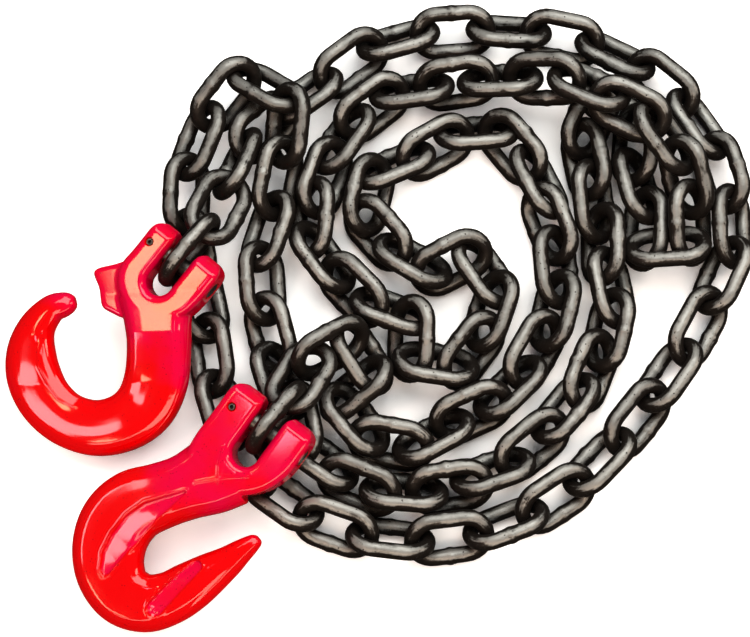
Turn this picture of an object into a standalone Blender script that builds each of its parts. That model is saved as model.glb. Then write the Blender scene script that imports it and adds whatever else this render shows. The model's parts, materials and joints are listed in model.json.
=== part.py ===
"""A length of 10 mm round-link steel chain, laid in a loose coil, with a clevis sling hook on
one end and a clevis grab hook on the other. Metres, +Z up, origin on the floor under the
middle of the whole object. +X is the photo's right and +Y is away from the viewer."""

import math

import bmesh
import bpy
import numpy as np
from mathutils import Matrix, Vector

# The chain's link: 10 mm wire, 35 mm pitch, as 3/8 inch transport chain is made
WIRE = 0.0100
PITCH = 0.0350
INSIDE_WIDTH = 0.0160
BEND = (INSIDE_WIDTH + WIRE) / 2         # radius of the wire's middle line at a link's end
STRAIGHT = PITCH - INSIDE_WIDTH          # length of a link's straight arms
LINK_SIDES = 6                           # facets round the wire
LINK_FACET_RADIUS = 0.0052               # out to the facets' edges, for the same bulk as the round
END_STEPS = 4                            # facets round each end of a link
BEND_CORNER = 0.0132                     # the middle line's corners, so the facets lie about the bend

# How the laid links touch
LEAN = math.radians(45)                  # each link leans, to alternate sides along the chain
FUSED = 0.0013                           # depth that links of a run are sunk into each other
CLEAR = 0.0006                           # between any other links
FLOOR = 0.0053                           # lowest that a wire's middle may lie
HOOK_GAP = 0.0013                        # least, between a link and a hook
END_GAP = 0.0012                         # between an end link and its load pin
RUN = 3                                  # links in one run
SETTLE_ROUNDS = 500
HOMING = 0.008                           # pull of each link back to its laid place, each round
LAYER = 0.0210                           # height of one more strand in the heap

# The photo's eye, which turns a pixel and a height into a place
PIXEL = 0.000616                         # size of a pixel where the eye looks
EYE_DISTANCE = 1.80
LOOK_DOWN = math.radians(74)
MIDDLE_PX = (375.0, 318.5)
LOOKED_AT = (-0.0042, 0.0000)                # place on the floor in the photo's middle

# The chain's route: photo x, photo y and layer of each link in turn, from the sling hook
OUTER_TURN = (
    (190, 248, 1.4), (226, 213, 1.0), (248, 170, 0.5), (278, 130, 0), (308, 84, 0),
    (343, 54, 0), (398, 37, 0), (452, 30, 0), (507, 30, 0), (563, 34, 0), (618, 52, 0),
    (661, 79, 0), (697, 119, 0), (719, 172, 0), (726, 227, 0), (723, 280, 0), (700, 331, 0),
    (672, 377, 0), (637, 421, 0), (602, 466, 0), (560, 507, 0), (505, 530, 0), (448, 545, 0),
    (389, 544, 0), (329, 531, 0), (278, 503, 0), (240, 462, 0), (218, 412, 0), (212, 355, 0),
    (200, 303, 0), (186, 252, 0), (181, 200, 0), (193, 147, 0), (221, 95, 0.3),
)
LEFT_FALL = (
    (262, 76, 1.2), (276, 117, 1.8), (281, 168, 1.4), (264, 225, 0.8), (258, 280, 0.4),
    (270, 334, 0.4), (288, 385, 0.2), (300, 428, 0.2),
)
LOWER_TURN = (
    (322, 462, 0), (362, 476, 0), (398, 498, 0), (443, 482, 0), (495, 482, 0),
    (528, 443, 0), (573, 412, 0), (590, 367, 0), (614, 330, 0), (612, 288, 0),
    (614, 245, 0), (602, 200, 0), (592, 158, 0), (590, 118, 0), (620, 110, 0),
    (636, 145, 0), (640, 185, 0), (646, 226, 0),
)
UPPER_TURN = (
    (676, 262, 0), (688, 224, 0), (687, 180, 0.6), (664, 134, 1.2), (632, 106, 1.2),
    (588, 93, 1), (545, 84, 0.5), (500, 85, 0.2), (453, 83, 0.2), (409, 93, 0.2),
    (370, 94, 0.6), (342, 134, 1.0), (310, 166, 1.0), (312, 213, 1.0), (327, 250, 1.0),
    (353, 278, 1.2),
)
INNER_COIL = (
    (385, 303, 0.8), (412, 335, 0.2), (428, 365, 1.0), (468, 347, 0.3), (500, 302, 0.3),
    (480, 270, 1.0), (452, 250, 0.3), (418, 262, 1.0), (382, 226, 0.6), (352, 180, 0.8),
    (396, 166, 0.6), (435, 140, 0.2), (480, 130, 0.2), (515, 138, 0), (535, 183, 0),
    (556, 222, 0), (555, 268, 0), (562, 312, 0), (532, 352, 0), (512, 395, 0),
    (466, 412, 0.2), (428, 440, 0.4), (390, 427, 1.0), (348, 412, 1.0), (372, 384, 2.0),
    (352, 350, 2.0), (330, 314, 2.0), (312, 362, 2.4), (278, 410, 1.6),
)
ROUTE = OUTER_TURN + LEFT_FALL + LOWER_TURN + UPPER_TURN + INNER_COIL

# The hooks, each in its own plane: u is toward the chain from the load pin, v is to the left of
# u. A station of the body is u, v, half width and half height.
PIN = 0.0110
KEEPER = 0.0042
PIN_ROOM = 0.0003                        # round each pin in its hole
EAR_HALF_HEIGHT = 0.0126
SOFT_EDGE = 0.0026
SLOT = 0.0165
LUG_HALF_HEIGHT = 0.0060
SLING = dict(
    name="sling",
    pin_px=(178.5, 263.5),
    pin_height=0.0450,
    toward_chain=(0.66, -0.75),          # in photo pixels
    ears=(-0.0270, 0.0250),              # the fork's two sides
    nose=0.0150,                         # how far the ears reach round the pin
    crotch=-0.0235,
    keeper_v=0.0195,
    fork=(
        (0.022, -0.027), (0.022, 0.025), (-0.010, 0.025), (-0.022, 0.026), (-0.033, 0.020),
        (-0.040, 0.006), (-0.038, -0.012), (-0.024, -0.025), (-0.011, -0.027),
    ),
    lug=(
        (-0.016, 0.022), (-0.025, 0.030), (-0.033, 0.0365), (-0.038, 0.036), (-0.042, 0.028),
        (-0.049, 0.0205), (-0.049, 0.016), (-0.045, 0.006), (-0.030, 0.000),
    ),
    body=(
        (-0.0575, 0.0355, 0.0035, 0.0035), (-0.0600, 0.0375, 0.0062, 0.0060),
        (-0.0640, 0.0405, 0.0078, 0.0075), (-0.0710, 0.0445, 0.0088, 0.0085),
        (-0.0845, 0.0445, 0.0115, 0.0090), (-0.0975, 0.0385, 0.0150, 0.0095),
        (-0.1085, 0.0275, 0.0168, 0.0100), (-0.1155, 0.0120, 0.0168, 0.0100),
        (-0.1160, -0.0060, 0.0165, 0.0100), (-0.1085, -0.0235, 0.0170, 0.0105),
        (-0.0945, -0.0350, 0.0178, 0.0110), (-0.0785, -0.0385, 0.0190, 0.0110),
        (-0.0620, -0.0335, 0.0195, 0.0115), (-0.0455, -0.0220, 0.0195, 0.0120),
        (-0.0345, -0.0120, 0.0205, 0.0122), (-0.0235, -0.0020, 0.0235, 0.0122),
    ),
)
GRAB = dict(
    name="grab",
    pin_px=(265.5, 430),
    pin_height=0.0480,
    toward_chain=(0.62, -0.78),
    ears=(-0.0285, 0.0305),
    nose=0.0160,
    crotch=-0.0255,
    keeper_v=0.0225,
    fork=(
        (0.024, -0.0285), (0.024, 0.0305), (-0.012, 0.0305), (-0.030, 0.0310), (-0.042, 0.028),
        (-0.048, 0.012), (-0.043, -0.008), (-0.031, -0.022), (-0.014, -0.0285),
    ),
    lug=None,
    body=(
        (-0.0535, -0.0350, 0.0024, 0.0024), (-0.0555, -0.0345, 0.0042, 0.0042),
        (-0.0600, -0.0330, 0.0058, 0.0055), (-0.0680, -0.0305, 0.0078, 0.0070),
        (-0.0765, -0.0280, 0.0098, 0.0080), (-0.0885, -0.0235, 0.0127, 0.0090),
        (-0.1015, -0.0185, 0.0150, 0.0095), (-0.1145, -0.0125, 0.0160, 0.0100),
        (-0.1250, -0.0030, 0.0175, 0.0105), (-0.1290, 0.0110, 0.0190, 0.0105),
        (-0.1235, 0.0250, 0.0208, 0.0110), (-0.1120, 0.0350, 0.0222, 0.0110),
        (-0.0975, 0.0395, 0.0228, 0.0110), (-0.0830, 0.0370, 0.0220, 0.0115),
        (-0.0695, 0.0280, 0.0197, 0.0120), (-0.0565, 0.0180, 0.0188, 0.0122),
        (-0.0425, 0.0095, 0.0215, 0.0122), (-0.0300, 0.0040, 0.0240, 0.0122),
    ),
)
HOOKS = (SLING, GRAB)
BALL = 0.0055                            # radius of the balls that stand for a fork
BODY_SIDES = 12
BODY_SQUARENESS = 0.72                   # 1 is an oval, less is nearer a box
NOSE_STEPS = 6
SLOT_STEPS = 8
PIN_SIDES = 16
KEEPER_SIDES = 8


def on_floor(px, py, height):
    """The place at this height that the photo shows at this pixel."""
    flat, steep = math.cos(LOOK_DOWN), math.sin(LOOK_DOWN)
    eye = np.array([LOOKED_AT[0], LOOKED_AT[1] - EYE_DISTANCE * flat, EYE_DISTANCE * steep])
    across = (px - MIDDLE_PX[0]) * PIXEL
    up = (MIDDLE_PX[1] - py) * PIXEL
    ray = np.array([across, EYE_DISTANCE * flat + up * steep, up * flat - EYE_DISTANCE * steep])
    return eye + ray * (height - eye[2]) / ray[2]


def resting_height(layer):
    """Height of a leaning link's middle in this layer."""
    return FLOOR + BEND * math.sin(LEAN) + layer * LAYER


def along_floor(direction):
    """A photo direction as a level unit vector."""
    v = np.array([direction[0], -direction[1] / math.sin(LOOK_DOWN), 0.0])
    return v / np.linalg.norm(v)


def link_corners():
    """Corners of a link's faceted middle line: x along it, y across it, and the way outward."""
    corners = []
    for end in (1, -1):
        for step in range(END_STEPS + 1):
            a = math.pi / 2 - math.pi * step / END_STEPS
            outward = (end * math.cos(a), end * math.sin(a))
            corners.append((end * STRAIGHT / 2 + BEND_CORNER * outward[0], BEND_CORNER * outward[1], outward))
    return corners


def middle_line(count):
    """Points spread evenly along a link's middle line, and each one's outward direction."""
    corners = np.array([corner[:2] for corner in link_corners()])
    sides = np.roll(corners, -1, axis=0) - corners
    lengths = np.linalg.norm(sides, axis=1)
    ends = np.concatenate([[0.0], np.cumsum(lengths)])
    places = (np.arange(count) + 0.5) * ends[-1] / count
    k = np.searchsorted(ends, places) - 1
    points = corners[k] + sides[k] * ((places - ends[k]) / lengths[k])[:, None]
    outward = np.stack([-sides[k, 1], sides[k, 0]], axis=1) / lengths[k][:, None]
    return points, outward


def link_frames(joints, leans):
    """Middle, long direction and cross direction of each link that spans two joints."""
    span = joints[1:] - joints[:-1]
    middle = (joints[1:] + joints[:-1]) / 2
    along = span / np.linalg.norm(span, axis=1)[:, None]
    level = np.stack([-along[:, 1], along[:, 0], np.zeros(len(along))], axis=1)
    level /= np.linalg.norm(level, axis=1)[:, None]
    upward = np.cross(along, level)
    across = np.cos(leans)[:, None] * level + np.sin(leans)[:, None] * upward
    return middle, along, across


def wire_points(middle, along, across, outline):
    """The middle line of every link in space."""
    return (middle[:, None, :] + outline[None, :, 0, None] * along[:, None, :]
            + outline[None, :, 1, None] * across[:, None, :])


def closest(points, pairs):
    """For each pair of links, their closest points, as indices and offset between them."""
    first = points[pairs[:, 0]]
    second = points[pairs[:, 1]]
    offsets = first[:, :, None, :] - second[:, None, :, :]
    squared = np.einsum("nijk,nijk->nij", offsets, offsets)
    flat = squared.reshape(len(pairs), -1).argmin(axis=1)
    i = flat // second.shape[1]
    j = flat % second.shape[1]
    rows = np.arange(len(pairs))
    return i, j, offsets[rows, i, j]


def reach(direction, outward, through):
    """How far the six-sided wire reaches from its middle line in each direction."""
    angle = np.arctan2(np.einsum("ij,ij->i", direction, through), np.einsum("ij,ij->i", direction, outward))
    step = 2 * math.pi / LINK_SIDES
    return LINK_FACET_RADIUS * np.cos(angle - np.round(angle / step) * step)


def near_pairs(middle, reach, least_apart):
    """Pairs of links whose middles are within reach of each other."""
    offset = middle[:, None, :] - middle[None, :, :]
    close = np.einsum("ijk,ijk->ij", offset, offset) < reach * reach
    first, second = np.nonzero(np.triu(close, least_apart))
    return np.stack([first, second], axis=1)


def alternate_leans(count):
    """Each link leans the other way from the last, and both end links stand on edge."""
    leans = np.where(np.arange(count) % 2 == 0, -LEAN, LEAN)
    for step, extra in enumerate((45, 30, 15)):
        leans[step] -= math.radians(extra)
        leans[count - 1 - step] -= math.radians(extra)
    return leans


def lay_joints():
    """Where each link meets the next: the route, sunk together until the strands rest."""
    middles = np.array([on_floor(px, py, resting_height(layer)) for px, py, layer in ROUTE])
    start, finish = hook_ends()
    joints = np.vstack([start, (middles[:-1] + middles[1:]) / 2, finish])
    count = len(joints) - 1
    leans = alternate_leans(count)
    planned = joints.copy()
    outline = middle_line(18)[0]
    longest = PITCH - 0.0003
    shortest = 0.0280
    clear = 2 * LINK_FACET_RADIUS + CLEAR
    lowest = FLOOR + BEND * math.sin(LEAN)
    rounds = 400
    for turn in range(rounds):
        ease = 1 - turn / rounds
        joints[1:-1, 2] -= 0.0006 * ease
        joints[1:-1, :2] += 0.04 * (planned[1:-1, :2] - joints[1:-1, :2])
        level = joints[1:-1, 2]
        joints[1:-1, 2] += 0.10 * ((joints[:-2, 2] + joints[2:, 2]) / 2 - level)
        for _ in range(6):
            span = joints[1:] - joints[:-1]
            length = np.linalg.norm(span, axis=1)
            wanted = np.clip(length, shortest, longest)
            pull = span * ((length - wanted) / length)[:, None] * 0.5
            change = np.zeros_like(joints)
            change[:-1] += pull
            change[1:] -= pull
            joints[1:-1] += 0.7 * change[1:-1]
        middle, along, across = link_frames(joints, leans)
        points = wire_points(middle, along, across, outline)
        pairs = near_pairs(middle, 0.058, 2)
        i, j, offset = closest(points, pairs)
        distance = np.linalg.norm(offset, axis=1)
        hit = distance < clear
        pairs, i, j = pairs[hit], i[hit], j[hit]
        offset, distance = offset[hit], distance[hit]
        push = offset / distance[:, None] * (clear - distance)[:, None] * 0.5
        change = np.zeros_like(joints)
        weight = np.full(len(joints), 1e-9)
        for side, index, sign in ((0, i, 1.0), (1, j, -1.0)):
            link = pairs[:, side]
            share = np.clip(0.5 + outline[index, 0] / PITCH, 0.0, 1.0)
            np.add.at(change, link, sign * push * (1 - share)[:, None])
            np.add.at(weight, link, 1 - share)
            np.add.at(change, link + 1, sign * push * share[:, None])
            np.add.at(weight, link + 1, share)
        change /= np.maximum(weight, 1.0)[:, None]
        joints[1:-1] += 1.2 * change[1:-1]
        joints[1:-1, 2] = np.maximum(joints[1:-1, 2], lowest)
    return joints, leans


def hook_axes(hook):
    """The load pin's middle and the hook's level u and v directions."""
    pin = on_floor(*hook["pin_px"], hook["pin_height"])
    u = along_floor(hook["toward_chain"])
    return pin, u, np.array([-u[1], u[0], 0.0])


def hook_tilt(hook):
    """How far the hook leans down from its pin until its body lies on the floor."""
    low, high = 0.0, math.radians(40)
    for _ in range(50):
        tilt = (low + high) / 2
        under = min(hook["pin_height"] + (u - half_width) * math.sin(tilt) - half_height * math.cos(tilt)
                    for u, v, half_width, half_height in hook["body"])
        if under > 0:
            low = tilt
        else:
            high = tilt
    return low


def hook_frame(hook):
    """The hook's matrix: its x is u, its y is v and its origin is in the load pin."""
    pin, u, v = hook_axes(hook)
    tilt = hook_tilt(hook)
    u = u * math.cos(tilt) + np.array([0, 0, math.sin(tilt)])
    return np.column_stack([u, v, np.cross(u, v)]), pin


def hook_ends():
    """The far inside ends of the two end links, where they hang on the load pins."""
    ends = []
    for hook in HOOKS:
        pin, u, v = hook_axes(hook)
        ends.append(pin - u * (PIN / 2 + END_GAP))
    return ends


def station_sides(stations):
    """The level direction across the hook's body at each station."""
    places = np.array([station[:2] for station in stations])
    run = np.gradient(places, axis=0)
    run /= np.linalg.norm(run, axis=1)[:, None]
    return np.stack([-run[:, 1], run[:, 0]], axis=1)


def fork_balls(hook):
    """Balls that fill the fork: u, v and w of their middles."""
    corners = np.array(hook["fork"])
    sides = np.roll(corners, -1, axis=0) - corners
    inward = np.stack([-sides[:, 1], sides[:, 0]], axis=1) / np.linalg.norm(sides, axis=1)[:, None]
    balls = []
    for w in (BALL - EAR_HALF_HEIGHT, 0.0, EAR_HALF_HEIGHT - BALL):
        furthest = math.sqrt((hook["nose"] - BALL) ** 2 - w ** 2)
        for low, high in ((hook["ears"][0], -SLOT / 2), (-SLOT / 2, SLOT / 2), (SLOT / 2, hook["ears"][1])):
            last = furthest if abs(low + high) > SLOT / 2 else hook["crotch"] - BALL
            for v in np.linspace(low + BALL, high - BALL, 3):
                for u in np.arange(last, -0.050, -0.004):
                    if (((np.array([u, v]) - corners) * inward).sum(axis=1) > BALL - 0.002).all():
                        balls.append((u, v, w, BALL))
    return balls


def hook_balls():
    """Balls that fill both hooks, for the chain to keep clear of: middles and radii."""
    balls = []
    for hook in HOOKS:
        turn, pin = hook_frame(hook)
        local = fork_balls(hook)
        for station, across in zip(hook["body"], station_sides(hook["body"])):
            u, v, half_width, half_height = station
            spread = max(half_width - half_height, 0.0)
            for side in (-1.0, -0.3, 0.3, 1.0):
                local.append((u + across[0] * side * spread, v + across[1] * side * spread, 0.0, half_height))
        local = np.array(local)
        balls.append(np.column_stack([local[:, :3] @ turn.T + pin, local[:, 3]]))
    return np.vstack(balls)


def turn_links(along, across, turn):
    """Turn each link by its small turn vector and square its directions up again."""
    along = along + np.cross(turn, along)
    across = across + np.cross(turn, across)
    along /= np.linalg.norm(along, axis=1)[:, None]
    across -= along * np.einsum("ij,ij->i", along, across)[:, None]
    across /= np.linalg.norm(across, axis=1)[:, None]
    return along, across


def settle_links(joints, leans):
    """Move and turn each link a little until it bears on its neighbours and clears the rest."""
    middle, along, across = link_frames(joints, leans)
    middle[0] = joints[0] + along[0] * PITCH / 2
    middle[-1] = joints[-1] - along[-1] * PITCH / 2
    count = len(middle)
    outline, outward = middle_line(48)
    home = middle.copy()
    chain = np.stack([np.arange(count - 1), np.arange(1, count)], axis=1)
    room = np.where(chain[:, 1] % RUN != 0, -FUSED, CLEAR)
    balls = hook_balls()
    free = np.ones(count)
    free[[0, -1]] = 0.0
    stiffness = 0.0180 ** 2
    for turn in range(SETTLE_ROUNDS):
        middle += HOMING * free[:, None] * (home - middle)
        points = wire_points(middle, along, across, outline)
        if turn % 12 == 0:
            others = near_pairs(middle, 2 * BEND + PITCH, 2)
            distance = np.linalg.norm(closest(points[:, ::3], others)[2], axis=1)
            others = others[distance < 1.5 * WIRE]
            space = np.linalg.norm(middle[:, None, :] - balls[None, :, :3], axis=2) - balls[:, 3]
            beside = [k for k in range(1, count - 1) if space[k].min() < PITCH]
        pairs = np.vstack([others, chain])
        i, j, offset = closest(points, pairs)
        distance = np.linalg.norm(offset, axis=1)
        direction = offset / distance[:, None]
        touch = np.zeros(len(pairs))
        for side, index, sign in ((0, i, -1.0), (1, j, 1.0)):
            link = pairs[:, side]
            faces = along[link] * outward[index, :1] + across[link] * outward[index, 1:]
            touch += reach(sign * direction, faces, np.cross(along[link], across[link]))
        away = np.maximum(CLEAR + touch - distance, 0.0)[:len(others)]
        shift = np.concatenate([away, (room + (touch - distance)[len(others):])])
        push = direction * shift[:, None] * 0.5
        change = np.zeros_like(middle)
        spin = np.zeros_like(middle)
        weight = np.ones(count)
        for side, index, sign in ((0, i, 1.0), (1, j, -1.0)):
            link = pairs[:, side]
            arm = points[link, index] - middle[link]
            np.add.at(change, link, sign * push)
            np.add.at(spin, link, np.cross(arm, sign * push) / stiffness)
            np.add.at(weight, link, 0.35 * (shift != 0))
        for link in beside:
            offset = points[link][:, None, :] - balls[None, :, :3]
            distance = np.linalg.norm(offset, axis=2) - balls[None, :, 3]
            k, ball = np.unravel_index(distance.argmin(), distance.shape)
            short = LINK_FACET_RADIUS + HOOK_GAP - distance[k, ball]
            if short > 0:
                away = offset[k, ball] / np.linalg.norm(offset[k, ball]) * short
                change[link] += away
                spin[link] += np.cross(points[link, k] - middle[link], away) / stiffness
        middle += free[:, None] * change / weight[:, None]
        along, across = turn_links(along, across, free[:, None] * 0.5 * spin / weight[:, None])
        lowest = points[:, :, 2].min(axis=1)
        middle[:, 2] += np.maximum(FLOOR - lowest, 0.0)
    return middle, along, across


def ring(middle, sideways, upward, shape):
    """Points round one station: shape gives each as a share of the two directions."""
    return [middle + sideways * a + upward * b for a, b in shape]


def loft(mesh, rings, closed):
    """Join rings of points with faces, round to the start or with a face on each end."""
    rows = [[mesh.verts.new(point) for point in points] for points in rings]
    count = len(rows[0])
    for k in range(len(rows) if closed else len(rows) - 1):
        first, second = rows[k], rows[(k + 1) % len(rows)]
        for i in range(count):
            n = (i + 1) % count
            mesh.faces.new((first[i], first[n], second[n], second[i]))
    if not closed:
        mesh.faces.new(rows[0][::-1])
        mesh.faces.new(rows[-1])
    bmesh.ops.recalc_face_normals(mesh, faces=mesh.faces)


def finish_mesh(name, mesh, smooth_below=None):
    """A Blender mesh from a bmesh, smooth across edges that turn less than the angle."""
    data = bpy.data.meshes.new(name)
    mesh.to_mesh(data)
    mesh.free()
    if smooth_below is not None:
        data.shade_smooth()
        data.set_sharp_from_angle(angle=smooth_below)
    return data


def new_object(name, data, parent=None):
    item = bpy.data.objects.new(name, data)
    bpy.context.collection.objects.link(item)
    item.parent = parent
    return item


def link_mesh(mesh, middle, along, across):
    """One round link: a six-sided wire bent round both ends."""
    middle, along, across = Vector(middle), Vector(along), Vector(across)
    through = along.cross(across)
    section = []
    for k in range(LINK_SIDES):
        a = 2 * math.pi * k / LINK_SIDES
        section.append((LINK_FACET_RADIUS * math.cos(a), LINK_FACET_RADIUS * math.sin(a)))
    rings = []
    for x, y, outward in link_corners():
        place = middle + along * x + across * y
        rings.append(ring(place, along * outward[0] + across * outward[1], through, section))
    loft(mesh, rings, closed=True)


def joined(name, target, tools, operation):
    """The target's mesh after a Boolean with each tool, which is then removed."""
    for tool in tools:
        cut = target.modifiers.new("cut", "BOOLEAN")
        cut.operation = operation
        cut.solver = "EXACT"
        cut.object = tool
    bpy.context.view_layer.update()
    result = bpy.data.meshes.new_from_object(target.evaluated_get(bpy.context.evaluated_depsgraph_get()))
    target.modifiers.clear()
    target.data = result
    for tool in tools:
        bpy.data.objects.remove(tool)
    result.name = name
    return target


def prism(name, outline, low, high, direction, bevel=0.0):
    """A plate with this outline. Its thickness lies along w, or along v for a side outline."""
    mesh = bmesh.new()
    if direction == "w":
        rings = [[Vector((a, b, level)) for a, b in outline] for level in (low, high)]
    else:
        rings = [[Vector((a, level, b)) for a, b in outline] for level in (low, high)]
    loft(mesh, rings, closed=False)
    if bevel:
        flat = 2 if direction == "w" else 1
        rims = [edge for edge in mesh.edges if abs(edge.verts[0].co[flat] - edge.verts[1].co[flat]) < 1e-6]
        bmesh.ops.bevel(mesh, geom=rims, offset=bevel, segments=1, affect="EDGES")
        bmesh.ops.recalc_face_normals(mesh, faces=mesh.faces)
    return new_object(name, finish_mesh(name, mesh))


def round_bar(name, radius, start, finish, sides):
    """A round bar between two points."""
    mesh = bmesh.new()
    start, finish = Vector(start), Vector(finish)
    axis = (finish - start).normalized()
    sideways = axis.orthogonal().normalized()
    upward = axis.cross(sideways)
    shape = [(radius * math.cos(2 * math.pi * k / sides), radius * math.sin(2 * math.pi * k / sides))
             for k in range(sides)]
    loft(mesh, [ring(place, sideways, upward, shape) for place in (start, finish)], closed=False)
    return new_object(name, finish_mesh(name, mesh, math.radians(40)))


def smooth_stations(stations, steps):
    """More stations along a smooth curve through the given ones."""
    rows = [np.array(row) for row in stations]
    rows = [2 * rows[0] - rows[1]] + rows + [2 * rows[-1] - rows[-2]]
    result = []
    for k in range(1, len(rows) - 2):
        p, q, r, s = rows[k - 1:k + 3]
        for step in range(steps):
            t = step / steps
            result.append(0.5 * (2 * q + (r - p) * t + (2 * p - 5 * q + 4 * r - s) * t ** 2
                                 + (3 * q - p - 3 * r + s) * t ** 3))
    return result + [rows[-2]]


def hook_body(hook):
    """The bent body of the hook, a flattened oval in section, from its tip into its fork."""
    stations = smooth_stations(hook["body"], 2)
    shape = []
    for k in range(BODY_SIDES):
        a = 2 * math.pi * (k + 0.5) / BODY_SIDES
        x, y = math.cos(a), math.sin(a)
        shape.append((math.copysign(abs(x) ** BODY_SQUARENESS, x), math.copysign(abs(y) ** BODY_SQUARENESS, y)))
    widest = max(abs(x) for x, y in shape)
    tallest = max(abs(y) for x, y in shape)
    shape = [(x / widest, y / tallest) for x, y in shape]
    rings = []
    for (u, v, half_width, half_height), across in zip(stations, station_sides(stations)):
        sideways = Vector((across[0], across[1], 0)) * half_width
        rings.append(ring(Vector((u, v, 0)), sideways, Vector((0, 0, half_height)), shape))
    mesh = bmesh.new()
    loft(mesh, rings, closed=False)
    return new_object(hook["name"] + "_body", finish_mesh(hook["name"] + "_body", mesh))


def ear_outline(hook):
    """The fork seen from its side: straight above and below, round about the load pin."""
    nose, half = hook["nose"], EAR_HALF_HEIGHT
    start = math.asin(half / nose)
    arc = []
    for k in range(NOSE_STEPS + 1):
        a = start - 2 * start * k / NOSE_STEPS
        arc.append((nose * math.cos(a), nose * math.sin(a)))
    return [(-0.060, -half), (-0.060, half)] + arc


def hook_forging(hook):
    """Body, fork and latch lug as one forging, with the slot and the pin holes cut."""
    name = hook["name"] + "_hook"
    low, high = hook["ears"]
    fork = prism("fork", hook["fork"], -EAR_HALF_HEIGHT, EAR_HALF_HEIGHT, "w", SOFT_EDGE)
    joined("fork", fork, [prism("ears", ear_outline(hook), low - 0.01, high + 0.01, "v")], "INTERSECT")
    parts = [hook_body(hook)]
    if hook["lug"]:
        parts.append(prism("lug", hook["lug"], -LUG_HALF_HEIGHT, LUG_HALF_HEIGHT, "w", SOFT_EDGE / 2))
    joined(name, fork, parts, "UNION")
    half = SLOT / 2
    slot = []
    for k in range(SLOT_STEPS + 1):
        a = math.pi / 2 + math.pi * k / SLOT_STEPS
        slot.append((hook["crotch"] + half + half * math.cos(a), half * math.sin(a)))
    slot = [(0.030, half)] + slot + [(0.030, -half)]
    over = 2 * EAR_HALF_HEIGHT
    cutters = [
        prism("slot", slot, -over, over, "w"),
        round_bar("bore", PIN / 2 + PIN_ROOM, (0, low - 0.01, 0), (0, high + 0.01, 0), PIN_SIDES),
        round_bar("keeper_bore", KEEPER / 2 + PIN_ROOM, (0, hook["keeper_v"], -over),
                  (0, hook["keeper_v"], over), KEEPER_SIDES),
    ]
    joined(name, fork, cutters, "DIFFERENCE")
    fork.name = name
    fork.data.shade_smooth()
    fork.data.set_sharp_from_angle(angle=math.radians(38))
    return fork


def hook_pins(hook):
    """The load pin across the fork, drilled through, and the keeper pin in the drilling."""
    low, high = hook["ears"]
    name = hook["name"] + "_load_pin"
    load_pin = round_bar(name, PIN / 2, (0, low, 0), (0, high, 0), PIN_SIDES)
    drilling = round_bar("drilling", KEEPER / 2 + PIN_ROOM, (0, hook["keeper_v"], -PIN),
                         (0, hook["keeper_v"], PIN), KEEPER_SIDES)
    joined(name, load_pin, [drilling], "DIFFERENCE")
    top = EAR_HALF_HEIGHT
    keeper = round_bar(hook["name"] + "_keeper_pin", KEEPER / 2, (0, hook["keeper_v"], -top),
                       (0, hook["keeper_v"], top), KEEPER_SIDES)
    return [load_pin, keeper]


def finish(name, colour, roughness, metallic):
    """A plain material with this colour, roughness and metallic value."""
    material = bpy.data.materials.new(name)
    material.use_nodes = True
    shader = material.node_tree.nodes["Principled BSDF"]
    shader.inputs["Base Color"].default_value = (*colour, 1)
    shader.inputs["Roughness"].default_value = roughness
    shader.inputs["Metallic"].default_value = metallic
    material.diffuse_color = (*colour, 1)
    return material


def make_hooks(red, steel):
    """Both hooks with their pins, each hung on an empty on its load pin's axis."""
    for hook in HOOKS:
        turn, pin = hook_frame(hook)
        swing = new_object(hook["name"] + "_swing", None)
        swing.matrix_world = Matrix.Translation(Vector(pin)) @ Matrix(turn.tolist()).to_4x4()
        forging = hook_forging(hook)
        forging.parent = swing
        forging.data.materials.append(red)
        for pin_object in hook_pins(hook):
            pin_object.parent = swing
            pin_object.data.materials.append(steel)


def make_chain(steel):
    """The chain as runs of three links, each run one solid fused where its links bear."""
    joints, leans = lay_joints()
    middle, along, across = settle_links(joints, leans)
    for first in range(0, len(middle), RUN):
        number = first // RUN + 1
        links = []
        for k in range(first, min(first + RUN, len(middle))):
            mesh = bmesh.new()
            centre = middle[first + 1]
            link_mesh(mesh, middle[k] - centre, along[k], across[k])
            links.append(new_object("link", finish_mesh("link", mesh)))
        name = f"chain_run_{number:02d}"
        run = joined(name, links[0], links[1:], "UNION")
        run.name = name
        run.location = Vector(centre)
        run.data.shade_smooth()
        run.data.set_sharp_from_angle(angle=math.radians(70))
        run.data.materials.append(steel)


def main():
    for item in list(bpy.data.objects):
        bpy.data.objects.remove(item)
    chain_steel = finish("chain_steel", (0.055, 0.052, 0.048), 0.42, 0.9)
    pin_steel = finish("pin_steel", (0.10, 0.095, 0.09), 0.40, 0.9)
    red = finish("red_enamel", (0.80, 0.010, 0.030), 0.28, 0.0)
    make_hooks(red, pin_steel)
    make_chain(chain_steel)


if __name__ == "__main__":
    main()
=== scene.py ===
"""Dressed model of a coil of transport chain with a clevis sling hook and a clevis grab hook.

Every piece is built where the packed frame has it, in metres. Hook shapes are given in the
hook's own plane: u runs from the load pin toward the chain, v is to the left of u, and w is
out of the plane."""

import json
import math

import bmesh
import bpy
import numpy as np
from bpy.props import FloatProperty, FloatVectorProperty, IntProperty, PointerProperty
from mathutils import Matrix, Vector, noise


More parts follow.
